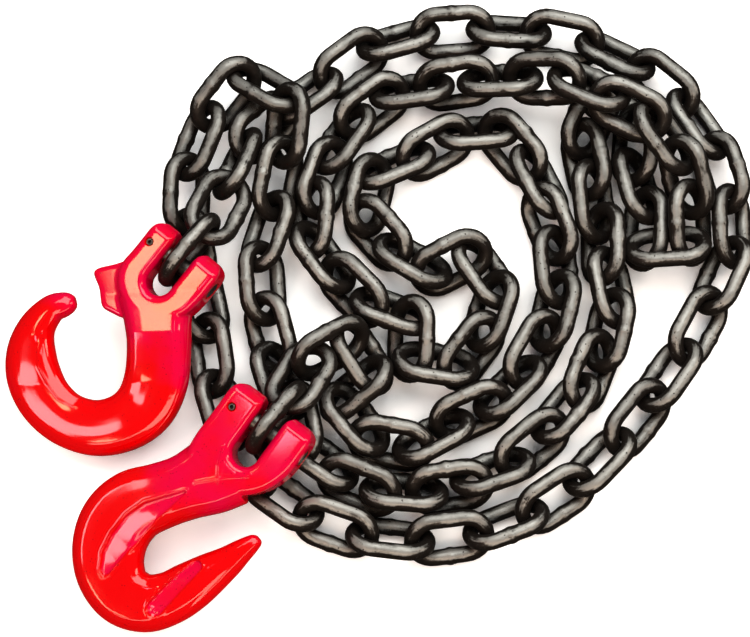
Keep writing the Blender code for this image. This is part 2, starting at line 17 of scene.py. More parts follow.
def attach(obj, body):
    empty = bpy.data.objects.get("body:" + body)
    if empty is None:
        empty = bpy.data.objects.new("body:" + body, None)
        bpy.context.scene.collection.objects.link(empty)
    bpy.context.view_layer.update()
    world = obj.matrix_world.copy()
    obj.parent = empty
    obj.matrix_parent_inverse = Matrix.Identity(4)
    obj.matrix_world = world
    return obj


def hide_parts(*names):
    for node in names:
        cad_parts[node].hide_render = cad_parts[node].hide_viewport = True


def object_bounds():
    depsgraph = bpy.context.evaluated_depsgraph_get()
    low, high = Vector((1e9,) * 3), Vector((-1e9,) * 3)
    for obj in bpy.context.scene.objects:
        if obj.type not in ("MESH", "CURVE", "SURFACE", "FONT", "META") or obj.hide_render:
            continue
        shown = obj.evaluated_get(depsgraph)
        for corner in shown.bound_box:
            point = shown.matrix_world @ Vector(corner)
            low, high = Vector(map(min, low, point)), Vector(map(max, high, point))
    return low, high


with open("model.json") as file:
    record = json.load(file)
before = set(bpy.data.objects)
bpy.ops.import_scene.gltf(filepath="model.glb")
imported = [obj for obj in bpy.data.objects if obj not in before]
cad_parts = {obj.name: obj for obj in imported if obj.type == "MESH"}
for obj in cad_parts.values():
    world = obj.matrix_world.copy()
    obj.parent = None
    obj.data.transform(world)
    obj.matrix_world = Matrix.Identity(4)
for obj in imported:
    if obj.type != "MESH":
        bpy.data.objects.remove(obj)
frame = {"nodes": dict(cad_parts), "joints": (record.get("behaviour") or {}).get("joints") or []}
CAD_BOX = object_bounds()

bl_info = {
    "name": "Chain and Clevis Hooks",
    "version": (1, 0, 0),
    "blender": (4, 5, 0),
    "location": "View3D > Sidebar > Chain",
    "description": "Builds a coil of steel chain with a sling hook and a grab hook",
    "category": "Object",
}

VIEW_WIDTH = 750                         # pixels across the view

# The faceted link in the packed model, by which each link is found there
FACETED_SIDE = 0.00040                   # least area of the flat side of a link
FACETED_THICKNESS = 0.0090067            # between a link's two flat sides
FACETED_LENGTH = 0.0558                  # between the outer corners of its two ends
SAME_TURN = 1e-5
SAME_PLACE = 2e-5
FIRST_WAY = (1.0, 0.37, 0.11)            # each link's long direction is turned toward this

# The wire of a link, and what marks it
NO_CROWN = 9.0                           # turn from the crown, for a place on a straight arm
WELD_REACH = 0.0019                      # how far the weld's bead reaches along the wire
WELD_LOPSIDED = 0.35                     # how much thicker the bead is on two of its sides
SEAT_TURN = 0.55                         # how far the worn seat reaches round the end, in radians
WAVER_SCALE = 160                        # dents in a metre of wire

# How the bodies of the hooks are shaped and marked
EAR_HEIGHT = 0.0126                      # half the height of the fork
CROWN_FADE = 0.0010                      # the crown fades as the body comes this near the fork's height
SHOULDER = ((0.0, 0.0), (0.02, 0.22), (0.10, 0.44), (0.27, 0.65), (0.55, 0.82))   # inward, upward
NARROW = 0.62                            # most of the half width that a shoulder may take
PANEL_WALL = 0.0014                      # width of the slope round a sunk panel
PANEL_TILT = 0.45                        # how much deeper one side of a panel is
RIM_WIDTH = 0.0008
LINE_WIDTH = 0.0009
FLAT_FROM, FLAT_OVER = 0.45, 0.4         # how level a face must be to take a mark, as its normal's w
GATHER_FROM, GATHER_OVER = -0.090, 0.050   # enamel lies thicker from here toward the fork
PAST = 0.01                              # how far a cutting tool reaches past what it cuts

# The two hooks. A station of the body is u, v, half width and half height, a panel is u, v and half
# width along its middle, a line is u and v, and a crease is a line with how far it stands up at its
# web side and drops at its shank side, and how soon both fade.
PIN = 0.0110
KEEPER = 0.0042
SLING = dict(
    name="sling",
    ears=(-0.0270, 0.0250),
    nose=0.0150,
    crotch=-0.0235,
    keeper_v=0.0195,
    fork=(
        (0.0156, -0.0215), (0.0156, -0.012), (0.0156, 0.012), (0.0156, 0.0195), (0.0100, 0.025),
        (0.000, 0.025), (-0.010, 0.025), (-0.022, 0.026), (-0.033, 0.020), (-0.040, 0.006),
        (-0.038, -0.012), (-0.024, -0.025), (-0.011, -0.027), (0.000, -0.027), (0.0100, -0.027),
    ),
    lug=(
        (-0.008, 0.0180), (-0.0150, 0.0240), (-0.0236, 0.0290), (-0.0300, 0.0345), (-0.0335, 0.0370),
        (-0.0365, 0.0372), (-0.0385, 0.0345), (-0.0416, 0.0280), (-0.0464, 0.0232), (-0.0492, 0.0200),
        (-0.0496, 0.0170), (-0.0482, 0.0110), (-0.0470, 0.0050), (-0.0400, 0.000), (-0.0200, 0.008),
    ),
    body=(
        (-0.0575, 0.0355, 0.0035, 0.0035), (-0.0600, 0.0375, 0.0062, 0.0060),
        (-0.0640, 0.0405, 0.0078, 0.0075), (-0.0710, 0.0445, 0.0088, 0.0085),
        (-0.0845, 0.0445, 0.0115, 0.0090), (-0.0975, 0.0385, 0.0150, 0.0095),
        (-0.1085, 0.0275, 0.0168, 0.0100), (-0.1155, 0.0120, 0.0168, 0.0100),
        (-0.1160, -0.0060, 0.0165, 0.0100), (-0.1085, -0.0235, 0.0170, 0.0105),
        (-0.0945, -0.0350, 0.0178, 0.0110), (-0.0785, -0.0385, 0.0190, 0.0110),
        (-0.0620, -0.0335, 0.0195, 0.0121), (-0.0455, -0.0220, 0.0195, 0.0126),
        (-0.0345, -0.0120, 0.0205, 0.0126), (-0.0235, -0.0020, 0.0235, 0.0126),
    ),
    crown=0.03,
    panels=(),
    lines=(
        ((-0.0603, 0.0332), (-0.0699, 0.0373), (-0.0842, 0.0376), (-0.0932, 0.0328), (-0.1009, 0.0264),
         (-0.1054, 0.0160), (-0.1078, 0.0046), (-0.1058, -0.0059), (-0.0989, -0.0161), (-0.0873, -0.0226),
         (-0.0768, -0.0245), (-0.0649, -0.0187), (-0.0534, -0.0092)),
    ),
    crease=dict(first=(-0.0500, -0.0050), second=(-0.0322, -0.0262), rise=0.0009, web=0.024,
                fall=0.0017, shank=0.030),
)
GRAB = dict(
    name="grab",
    ears=(-0.0285, 0.0305),
    nose=0.0160,
    crotch=-0.0255,
    keeper_v=0.0225,
    fork=(
        (0.0166, -0.0225), (0.0166, -0.012), (0.0166, 0.012), (0.0166, 0.0245), (0.0110, 0.0305),
        (0.000, 0.0305), (-0.012, 0.0305), (-0.030, 0.0310), (-0.042, 0.028), (-0.048, 0.012),
        (-0.043, -0.008), (-0.031, -0.022), (-0.014, -0.0285), (0.000, -0.0285), (0.0110, -0.0285),
    ),
    lug=None,
    body=(
        (-0.0535, -0.0350, 0.0024, 0.0024), (-0.0555, -0.0345, 0.0042, 0.0042),
        (-0.0600, -0.0330, 0.0058, 0.0055), (-0.0680, -0.0305, 0.0078, 0.0070),
        (-0.0765, -0.0280, 0.0098, 0.0080), (-0.0885, -0.0235, 0.0127, 0.0090),
        (-0.1015, -0.0185, 0.0150, 0.0095), (-0.1145, -0.0125, 0.0160, 0.0100),
        (-0.1250, -0.0030, 0.0175, 0.0105), (-0.1290, 0.0110, 0.0190, 0.0105),
        (-0.1235, 0.0250, 0.0208, 0.0110), (-0.1120, 0.0350, 0.0222, 0.0110),
        (-0.0975, 0.0395, 0.0228, 0.0110), (-0.0830, 0.0370, 0.0220, 0.0115),
        (-0.0695, 0.0283, 0.0200, 0.0122), (-0.0565, 0.0192, 0.0198, 0.0126),
        (-0.0425, 0.0107, 0.0228, 0.0126), (-0.0300, 0.0040, 0.0240, 0.0126),
    ),
    crown=0.0,
    panels=(
        ((-0.0570, 0.0150, 0.0014), (-0.0682, 0.0203, 0.0044), (-0.0794, 0.0255, 0.0070),
         (-0.0907, 0.0282, 0.0082), (-0.1029, 0.0290, 0.0078), (-0.1136, 0.0286, 0.0064),
         (-0.1219, 0.0267, 0.0038), (-0.1253, 0.0255, 0.0012)),
        ((-0.0885, -0.0158, 0.0042), (-0.1080, -0.0125, 0.0054), (-0.1225, -0.0108, 0.0054)),
    ),
    lines=(
        ((-0.0222, 0.0117), (-0.0326, 0.0077), (-0.0404, 0.0019)),
        ((-0.0267, -0.0103), (-0.0360, 0.0010), (-0.0487, 0.0131)),
        ((-0.1180, -0.0270), (-0.0900, -0.0318), (-0.0560, -0.0362)),
    ),
    crease=None,
)


def length(label, description, value):
    return FloatProperty(name=label, description=description, default=value, unit="LENGTH")


def power(label, description, value):
    return FloatProperty(name=label, description=description, default=value, unit="POWER")


class ChainSizes(bpy.types.PropertyGroup):
    """Sizes of one link of the chain"""
    wire: length("Wire", "Diameter of the wire", 0.0100)
    bend: length("Bend", "Radius of the wire's middle line round each end", 0.0130)
    straight: length("Straight", "Length of each straight arm", 0.0190)
    weld: length("Weld", "Height of the weld's bead on one arm", 0.00045)
    seat: length("Seat", "Depth of the worn seat inside each end", 0.0007)
    waver: length("Waver", "How far the wire is from truly round", 0.00016)
    sides: IntProperty(name="Sides", description="Faces round the wire", default=22)
    seed: IntProperty(name="Seed", description="Seed of the differences between links", default=7)


class HookSizes(bpy.types.PropertyGroup):
    """Sizes that both hooks share"""
    grain: length("Grain", "Size of the forging's mesh", 0.00065)
    height: length("Ear height", "Half the height of the fork's ears", EAR_HEIGHT)
    slot: length("Slot", "Width of the slot between the ears", 0.0165)
    soft: length("Soft edge", "Bevel along the fork's edges", 0.0040)
    lug: length("Lug", "Half the height of the latch lug", 0.0060)
    shoulder: length("Shoulder", "Width of the slope along the body's edges", 0.0072)
    panel: length("Panel", "Depth of the sunk panels", 0.00125)
    rim: length("Rim", "Height of the rim round a panel", 0.00035)
    line: length("Line", "Height of the raised lines", 0.00040)
    room: length("Room", "Gap round each pin in its hole", 0.0003)


def colour(label, description, value):
    return FloatVectorProperty(name=label, description=description, default=value, size=3,
                               min=0, max=1, subtype="COLOR")


class Finishes(bpy.types.PropertyGroup):
    """Colours of the steel, the enamel and what darkens them"""
    # steel is painted on the upper side of each wire as a painted highlight; scale is the links' own oily
    # black on the rest, and also their painted shade
    steel: colour("Steel", "Dull grey steel of the links, rubbed dry", (0.270, 0.274, 0.258))
    scale: colour("Scale", "Oil and mill scale on the links", (0.017, 0.014, 0.012))
    rubbed: colour("Rubbed", "Steel rubbed bright on the high places", (0.50, 0.50, 0.47))
    enamel: colour("Enamel", "Red enamel of the hooks", (0.74, 0.000, 0.001))
    deep: colour("Deep enamel", "Enamel where it lies thick", (0.70, 0.000, 0.046))
    grime: colour("Grime", "Oil and dirt in the pits and hollows of the links", (0.012, 0.010, 0.009))
    # shaded is painted shade: the darker red laid into the hooks' hollows
    shaded: colour("Hollow enamel", "Enamel in the hollows of the hooks", (0.30, 0.0, 0.010))
    speck: colour("Speck", "Small dark pits in the enamel", (0.16, 0.002, 0.008))
    pin: colour("Pin", "Bare steel of the pins", (0.12, 0.11, 0.10))
    bright: colour("Bright pin", "Steel of the pins where it is rubbed", (0.45, 0.43, 0.40))
    sooty: colour("Sooty pin", "Hollows of the pins", (0.02, 0.018, 0.016))


class StageSettings(bpy.types.PropertyGroup):
    """The floor, the lights and the camera"""
    floor: colour("Floor", "Colour of the floor", (0.90, 0.90, 0.89))
    glow: FloatProperty(name="Glow", description="Light that the floor gives back in the shade",
                        default=0.80)
    key: power("Key light", "Power of the large light overhead", 26)
    side: power("Side light", "Power that the side lights and the small lamps share", 6)
    world: FloatProperty(name="Room light", description="Strength of the light from all round", default=0.08)
    distance: length("Distance", "From the eye to the place that it looks at", 1.80)
    look_down: FloatProperty(name="Look down", description="Angle of the view below level",
                             default=math.radians(74), subtype="ANGLE")
    pixel: FloatProperty(name="Pixel", description="Size of one pixel of the view at that place",
                         default=0.000616, precision=6, unit="LENGTH")
    aim: FloatVectorProperty(name="Aim", description="Place on the floor that the eye looks at",
                             default=(-0.0042, 0.0, 0.0), subtype="TRANSLATION", unit="LENGTH")


def feed(tree, socket, value):
    """Link a value that is a socket, and set anything else."""
    if isinstance(value, bpy.types.NodeSocket):
        tree.links.new(value, socket)
    else:
        socket.default_value = value


def put(tree, kind, values=None, **settings):
    """A node with these settings and values."""
    node = tree.nodes.new(kind)
    for key, value in settings.items():
        setattr(node, key, value)
    for key, value in (values or {}).items():
        feed(tree, node.inputs[key], value)
    return node


def math_node(tree, operation, a, b):
    return put(tree, "ShaderNodeMath", {0: a, 1: b}, operation=operation).outputs[0]


def ramp(tree, value, low, high, out_low=0.0, out_high=1.0):
    """A value taken smoothly from one range to another."""
    node = put(tree, "ShaderNodeMapRange",
               {"Value": value, "From Min": low, "From Max": high, "To Min": out_low, "To Max": out_high},
               interpolation_type="SMOOTHSTEP")
    return node.outputs["Result"]


def mixed(tree, share, first, second):
    """One colour laid over another by a share."""
    node = put(tree, "ShaderNodeMix", data_type="RGBA")
    colour_inputs = [socket for socket in node.inputs if socket.type == "RGBA"]
    for socket, value in ((node.inputs[0], share), (colour_inputs[0], first), (colour_inputs[1], second)):
        feed(tree, socket, value)
    return next(socket for socket in node.outputs if socket.type == "RGBA")


def new_group(name, inputs, outputs):
    """An empty node group: its tree and its two ends."""
    tree = bpy.data.node_groups.new(name, "ShaderNodeTree")
    for label, kind, default in inputs:
        socket = tree.interface.new_socket(label, in_out="INPUT", socket_type=kind)
        if default is not None:
            socket.default_value = default
    for label, kind in outputs:
        tree.interface.new_socket(label, in_out="OUTPUT", socket_type=kind)
    return tree, tree.nodes.new("NodeGroupInput"), tree.nodes.new("NodeGroupOutput")


def forged_skin():
    """Dents, fine grain and small pits, as forging and handling leave them."""
    name = "forged_skin"
    if name in bpy.data.node_groups:
        return bpy.data.node_groups[name]
    tree, start, end = new_group(
        name,
        (("Vector", "NodeSocketVector", None), ("Dent Scale", "NodeSocketFloat", 200.0),
         ("Grain Scale", "NodeSocketFloat", 1200.0), ("Grain Share", "NodeSocketFloat", 0.25),
         ("Pit Scale", "NodeSocketFloat", 500.0), ("Pit Share", "NodeSocketFloat", 0.3)),
        (("Height", "NodeSocketFloat"), ("Dents", "NodeSocketFloat"), ("Pits", "NodeSocketFloat")))
    vector = start.outputs["Vector"]
    dents = put(tree, "ShaderNodeTexNoise", {"Vector": vector, "Scale": start.outputs["Dent Scale"],
                                             "Detail": 2.0, "Roughness": 0.5})
    grain = put(tree, "ShaderNodeTexNoise", {"Vector": vector, "Scale": start.outputs["Grain Scale"],
                                             "Detail": 3.0, "Roughness": 0.6})
    cells = put(tree, "ShaderNodeTexVoronoi", {"Vector": vector, "Scale": start.outputs["Pit Scale"]})
    sparse = put(tree, "ShaderNodeTexNoise", {"Vector": vector, "Scale": start.outputs["Dent Scale"],
                                              "Detail": 1.0, "Distortion": 1.5})
    pits = math_node(tree, "MULTIPLY", ramp(tree, cells.outputs["Distance"], 0.30, 0.12),
                     ramp(tree, sparse.outputs["Fac"], 0.52, 0.66))
    height = math_node(tree, "ADD", dents.outputs["Fac"],
                       math_node(tree, "MULTIPLY", grain.outputs["Fac"], start.outputs["Grain Share"]))
    height = math_node(tree, "SUBTRACT", height,
                       math_node(tree, "MULTIPLY", pits, start.outputs["Pit Share"]))
    tree.links.new(height, end.inputs["Height"])
    tree.links.new(dents.outputs["Fac"], end.inputs["Dents"])
    tree.links.new(pits, end.inputs["Pits"])
    return tree


def handling_wear():
    """Masks of the high places that rub bright and of the hollows, where the chain and the pins take grime
    and the enamel takes painted shade.
    """
    name = "handling_wear"
    if name in bpy.data.node_groups:
        return bpy.data.node_groups[name]
    tree, start, end = new_group(
        name,
        (("Vector", "NodeSocketVector", None), ("Breakup Scale", "NodeSocketFloat", 600.0),
         ("Edge", "NodeSocketFloat", 0.56), ("Hollow", "NodeSocketFloat", 0.44)),
        (("Rubbed", "NodeSocketFloat"), ("Hollow", "NodeSocketFloat")))
    form = put(tree, "ShaderNodeNewGeometry").outputs["Pointiness"]
    breakup = put(tree, "ShaderNodeTexNoise", {"Vector": start.outputs["Vector"],
                                               "Scale": start.outputs["Breakup Scale"], "Detail": 3.0})
    shift = math_node(tree, "MULTIPLY", math_node(tree, "SUBTRACT", breakup.outputs["Fac"], 0.5), 0.10)
    felt = math_node(tree, "ADD", form, shift)
    edge, hollow = start.outputs["Edge"], start.outputs["Hollow"]
    tree.links.new(ramp(tree, felt, edge, math_node(tree, "ADD", edge, 0.06)), end.inputs["Rubbed"])
    tree.links.new(ramp(tree, felt, hollow, math_node(tree, "SUBTRACT", hollow, 0.06)), end.inputs["Hollow"])
    return tree


def new_material(name, metallic, **constants):
    """A material with its tree, its shader and the object's own coordinates."""
    material = bpy.data.materials.new(name)
    material.use_nodes = True
    tree = material.node_tree
    shader = tree.nodes["Principled BSDF"]
    shader.inputs["Metallic"].default_value = metallic
    for key, value in constants.items():
        shader.inputs[key.replace("_", " ")].default_value = value
    place = put(tree, "ShaderNodeTexCoord").outputs["Object"]
    return material, tree, shader, place


def use_group(tree, group, values):
    return put(tree, "ShaderNodeGroup", values, node_tree=group).outputs


def bumped(tree, shader, height, distance):
    bump = put(tree, "ShaderNodeBump", {"Height": height, "Distance": distance, "Strength": 1.0})
    tree.links.new(bump.outputs["Normal"], shader.inputs["Normal"])


def rgba(value):
    return (*value, 1.0)


def chain_steel(looks):
    """Dull grey steel painted on the upper side of the wire as a painted highlight, and black with oil and
    scale below, where the black is also painted shade.
    """
    material, tree, shader, place = new_material("oiled_chain_steel", 0.50, Specular_IOR_Level=0.40)
    shader.inputs["Specular Tint"].default_value = (0.55, 0.54, 0.52, 1)
    wire = put(tree, "ShaderNodeAttribute", attribute_name="wire").outputs["Vector"]
    tone = put(tree, "ShaderNodeAttribute", attribute_name="tone").outputs["Fac"]
    skin = use_group(tree, forged_skin(), {"Vector": place, "Dent Scale": 190.0, "Grain Scale": 1500.0,
                                           "Grain Share": 0.22, "Pit Scale": 420.0, "Pit Share": 0.35})
    wear = use_group(tree, handling_wear(), {"Vector": place, "Breakup Scale": 700.0, "Edge": 0.545,
                                             "Hollow": 0.45})
    drawn = put(tree, "ShaderNodeVectorMath", {0: wire, 1: (90.0, 700.0, 700.0)}, operation="MULTIPLY")
    marks = put(tree, "ShaderNodeTexNoise", {"Vector": drawn.outputs[0], "Scale": 1.0, "Detail": 3.0})
    patches = put(tree, "ShaderNodeTexNoise", {"Vector": place, "Scale": 95.0, "Detail": 4.0,
                                               "Roughness": 0.65})
    upward = put(tree, "ShaderNodeSeparateXYZ", {0: put(tree, "ShaderNodeNewGeometry").outputs["Normal"]})
    shift = math_node(tree, "ADD", math_node(tree, "MULTIPLY", patches.outputs["Fac"], 0.55),
                      math_node(tree, "MULTIPLY", marks.outputs["Fac"], 0.40))
    # Painted highlight: the upper side of each wire, found by its upward normal and broken up by noise,
    # takes the grey steel, and the rest stays black
    painted_highlight = ramp(tree, math_node(tree, "ADD", upward.outputs["Z"], shift), 1.23, 1.37)
    # Painted shade: where ambient occlusion finds the links crowded close, the grey top is taken away and
    # the wire stays black
    crowded_painted_shade = put(tree, "ShaderNodeAmbientOcclusion", {"Distance": 0.012}, samples=6)
    painted_highlight = math_node(tree, "MULTIPLY", painted_highlight, ramp(tree, crowded_painted_shade.outputs["AO"], 0.50, 0.86))
    shade = math_node(tree, "ADD", patches.outputs["Fac"],
                      math_node(tree, "MULTIPLY", math_node(tree, "SUBTRACT", tone, 0.5), 0.35))
    grey = mixed(tree, ramp(tree, shade, 0.38, 0.62), rgba([share * 0.72 for share in looks.steel]),
                 rgba(looks.steel))
    base = mixed(tree, painted_highlight, rgba(looks.scale), grey)
    base = mixed(tree, math_node(tree, "MULTIPLY", wear["Rubbed"], 0.45), base, rgba(looks.rubbed))
    base = mixed(tree, math_node(tree, "MULTIPLY", wear["Hollow"], 0.85), base, rgba(looks.grime))
    base = mixed(tree, skin["Pits"], base, rgba(looks.grime))
    tree.links.new(base, shader.inputs["Base Color"])
    rough = ramp(tree, math_node(tree, "ADD", marks.outputs["Fac"],
                                 math_node(tree, "MULTIPLY", skin["Pits"], 0.3)), 0.30, 0.80, 0.33, 0.50)
    tree.links.new(rough, shader.inputs["Roughness"])
    height = math_node(tree, "ADD", skin["Height"], math_node(tree, "MULTIPLY", marks.outputs["Fac"], 0.20))
    bumped(tree, shader, height, 0.00045)
    return material


def red_enamel(looks):
    """Glossy red enamel over a forged skin, deeper where it gathered, with painted shade in its hollows and
    with dark specks.
    """
    material, tree, shader, place = new_material("glossy_red_enamel", 0.0, Coat_Weight=1.0,
                                                 Coat_Roughness=0.06, Coat_IOR=1.5, Specular_IOR_Level=0.0)
    skin = use_group(tree, forged_skin(), {"Vector": place, "Dent Scale": 150.0, "Grain Scale": 900.0,
                                           "Grain Share": 0.12, "Pit Scale": 620.0, "Pit Share": 0.20})
    wear = use_group(tree, handling_wear(), {"Vector": place, "Breakup Scale": 500.0, "Edge": 0.60,
                                             "Hollow": 0.47})
    flow = put(tree, "ShaderNodeTexNoise", {"Vector": place, "Scale": 38.0, "Detail": 3.0})
    gathered = put(tree, "ShaderNodeAttribute", attribute_name="gathered").outputs["Fac"]
    thick = math_node(tree, "ADD", flow.outputs["Fac"], math_node(tree, "MULTIPLY", gathered, 0.5))
    base = mixed(tree, ramp(tree, thick, 0.66, 1.14), rgba(looks.enamel), rgba(looks.deep))
    # Painted shade: a darker red in the concave hollows of the hooks
    base = mixed(tree, math_node(tree, "MULTIPLY", wear["Hollow"], 0.5), base, rgba(looks.shaded))
    base = mixed(tree, math_node(tree, "MULTIPLY", skin["Pits"], 0.7), base, rgba(looks.speck))
    tree.links.new(base, shader.inputs["Base Color"])
    tree.links.new(ramp(tree, skin["Dents"], 0.3, 0.7, 0.40, 0.55), shader.inputs["Roughness"])
    bumped(tree, shader, skin["Height"], 0.00030)
    return material


def pin_steel(looks):
    """Turned steel of the pins, dulled, with small pits."""
    material, tree, shader, place = new_material("turned_pin_steel", 1.0)
    skin = use_group(tree, forged_skin(), {"Vector": place, "Dent Scale": 300.0, "Grain Scale": 2200.0,
                                           "Grain Share": 0.5, "Pit Scale": 700.0, "Pit Share": 0.2})
    wear = use_group(tree, handling_wear(), {"Vector": place, "Breakup Scale": 900.0, "Edge": 0.55,
                                             "Hollow": 0.44})
    base = mixed(tree, math_node(tree, "MULTIPLY", wear["Rubbed"], 0.7), rgba(looks.pin), rgba(looks.bright))
    base = mixed(tree, math_node(tree, "MULTIPLY", wear["Hollow"], 0.8), base, rgba(looks.sooty))
    tree.links.new(base, shader.inputs["Base Color"])
    tree.links.new(ramp(tree, skin["Dents"], 0.3, 0.7, 0.28, 0.46), shader.inputs["Roughness"])
    bumped(tree, shader, skin["Height"], 0.00012)
    return material


def pale_floor(stage):
    """A smooth pale floor whose shade stays light."""
    material, tree, shader, place = new_material("pale_floor", 0.0, Roughness=0.85, Specular_IOR_Level=0.15)
    soft = put(tree, "ShaderNodeTexNoise", {"Vector": place, "Scale": 3.0, "Detail": 2.0})
    base = mixed(tree, ramp(tree, soft.outputs["Fac"], 0.3, 0.7), rgba(stage.floor),
                 rgba([share * 0.985 for share in stage.floor]))
    tree.links.new(base, shader.inputs["Base Color"])
    path = put(tree, "ShaderNodeLightPath").outputs
    open_to_light = put(tree, "ShaderNodeAmbientOcclusion", {"Distance": 0.05}, samples=6)
    lift = math_node(tree, "MULTIPLY", path["Is Camera Ray"],
                     ramp(tree, open_to_light.outputs["AO"], 0.16, 0.48, 0.0, stage.glow))
    glow = put(tree, "ShaderNodeEmission", {"Color": rgba(stage.floor), "Strength": lift})
    both = put(tree, "ShaderNodeAddShader", {0: shader.outputs[0], 1: glow.outputs[0]})
    dark = put(tree, "ShaderNodeEmission", {"Color": rgba(stage.floor), "Strength": 0.04})
    shown = put(tree, "ShaderNodeMixShader",
                {0: path["Is Glossy Ray"], 1: both.outputs[0], 2: dark.outputs[0]})
    tree.links.new(shown.outputs[0], tree.nodes["Material Output"].inputs["Surface"])
    return material


def material_of(name, make, looks):
    return bpy.data.materials.get(name) or make(looks)


def new_object(name, data):
    item = bpy.data.objects.new(name, data)
    bpy.context.collection.objects.link(item)
    return item


def flat_faces(node):
    """The flat areas of a CAD node, largest first, as area, normal and distance, and its corners."""
    data = frame["nodes"][node].data
    corners = np.array([v.co for v in data.vertices], float)
    normals = np.array([p.normal for p in data.polygons], float)
    areas = np.array([p.area for p in data.polygons])
    offsets = np.einsum("ij,ij->i", normals, corners[[p.vertices[0] for p in data.polygons]])
    left = np.ones(len(areas), bool)
    found = []
    for k in np.argsort(-areas, kind="stable"):
        if left[k]:
            same = left & (normals @ normals[k] > 1 - SAME_TURN) & (abs(offsets - offsets[k]) < SAME_PLACE)
            left &= ~same
            found.append((areas[same].sum(), normals[k], offsets[k]))
    found.sort(key=lambda face: -face[0])
    return found, corners


def link_places(node):
    """Middle, long direction and cross direction of each link in a run of the packed chain."""
    faces, corners = flat_faces(node)
    sides = [face for face in faces if face[0] > FACETED_SIDE]
    places = []
    for index, (_, through, offset) in enumerate(sides):
        for _, other, other_offset in sides[index + 1:]:
            thickness = offset + other_offset
            if through @ other > SAME_TURN - 1 or abs(thickness - FACETED_THICKNESS) > 2 * SAME_PLACE:
                continue
            flat = corners[abs(corners @ through - (offset - other_offset) / 2) < SAME_PLACE]
            apart = np.linalg.norm(flat[:, None] - flat[None, :], axis=2)
            first, second = np.nonzero(abs(apart - FACETED_LENGTH) < 2 * SAME_PLACE)
            a, b = flat[first[0]], flat[second[0]]
            along = (b - a) / np.linalg.norm(b - a)
            along *= math.copysign(1.0, along @ FIRST_WAY)
            across = np.cross(through, along)
            across *= math.copysign(1.0, across[2])
            places.append(((a + b) / 2, along, across / np.linalg.norm(across)))
    places.sort(key=lambda place: tuple(place[0].round(4)))
    if len(places) != 3:
        raise RuntimeError(f"{node} shows {len(places)} links and not 3")
    return places


def link_line(sizes):
    """Stations along the wire's middle line from the weld: x, y, outward turn, run from the weld, and
    turn from the crown."""
    half = sizes.straight / 2
    weld_arm = [0.0, 0.0007, 0.0014, 0.0022, 0.0034, 0.0055]
    plain_arm = [0.0032, 0.0, -0.0032]
    steps = 14
    arc = math.pi * sizes.bend
    rows = [(x, sizes.bend, math.pi / 2, x, NO_CROWN) for x in weld_arm]
    for k in range(steps + 1):
        turn = math.pi * k / steps
        a = math.pi / 2 - turn
        rows.append((half + sizes.bend * math.cos(a), sizes.bend * math.sin(a), a,
                     half + sizes.bend * turn, a))
    rows += [(x, -sizes.bend, -math.pi / 2, half + arc + half - x, NO_CROWN) for x in plain_arm]
    for k in range(steps + 1):
        turn = math.pi * k / steps
        a = -math.pi / 2 - turn
        rows.append((-half + sizes.bend * math.cos(a), sizes.bend * math.sin(a), a,
                     3 * half + arc + sizes.bend * turn, a + math.pi))
    rows += [(-x, sizes.bend, math.pi / 2, 4 * half + 2 * arc - x, NO_CROWN) for x in weld_arm[:0:-1]]
    return rows


def link_surface(sizes, line, place, draw):
    """Corners of one link, with its wire coordinates: a bent round wire with a weld and worn seats."""
    middle, along, across = (Vector(part) for part in place)
    through = along.cross(across)
    if draw.random() < 0.5:
        across, through = -across, -through
    twist = draw.random() * math.tau
    start = Vector(draw.random(3) * 10)
    whole = line[-1][3]
    radius = sizes.wire / 2 - sizes.waver / 2
    points, wires = [], []
    for x, y, a, run, crown in line:
        outward = along * math.cos(a) + across * math.sin(a)
        centre = middle + along * x + across * y
        from_weld = min(run, whole - run)
        bead = sizes.weld * math.exp(-(from_weld / WELD_REACH) ** 2)
        seat = sizes.seat * math.exp(-(crown / SEAT_TURN) ** 2) if crown < NO_CROWN else 0.0
        for k in range(sizes.sides):
            b = math.tau * k / sizes.sides
            r = radius + bead * (1 + WELD_LOPSIDED * math.cos(2 * b + twist))
            r -= seat * max(0.0, -math.cos(b)) ** 1.5
            way = outward * math.cos(b) + through * math.sin(b)
            r += sizes.waver * noise.noise((centre + way * radius) * WAVER_SCALE + start)
            point = centre + way * r
            point.z = max(point.z, CAD_BOX[0][2])
            points.append(point)
            wires.append((run + start.x, r * math.cos(b), r * math.sin(b)))
    return points, wires


def make_run(name, node, sizes, line, draw):
    """Three links of the chain as one piece."""
    points, wires, tones, faces = [], [], [], []
    rows, sides = len(line), sizes.sides
    for place in link_places(node):
        first = len(points)
        surface, along_wire = link_surface(sizes, line, place, draw)
        points += surface
        wires += along_wire
        tones += [float(draw.random())] * len(surface)
        for i in range(rows):
            for k in range(sides):
                near, far = first + i * sides, first + (i + 1) % rows * sides
                nxt = (k + 1) % sides
                faces.append((near + k, near + nxt, far + nxt, far + k))
    data = bpy.data.meshes.new(name)
    data.from_pydata(points, [], faces)
    mesh = bmesh.new()
    mesh.from_mesh(data)
    bmesh.ops.recalc_face_normals(mesh, faces=mesh.faces)
    mesh.to_mesh(data)
    mesh.free()
    wire = data.attributes.new("wire", "FLOAT_VECTOR", "POINT")
    wire.data.foreach_set("vector", np.array(wires).ravel())
    data.attributes.new("tone", "FLOAT", "POINT").data.foreach_set("value", tones)
    data.shade_smooth()
    return new_object(name, data)


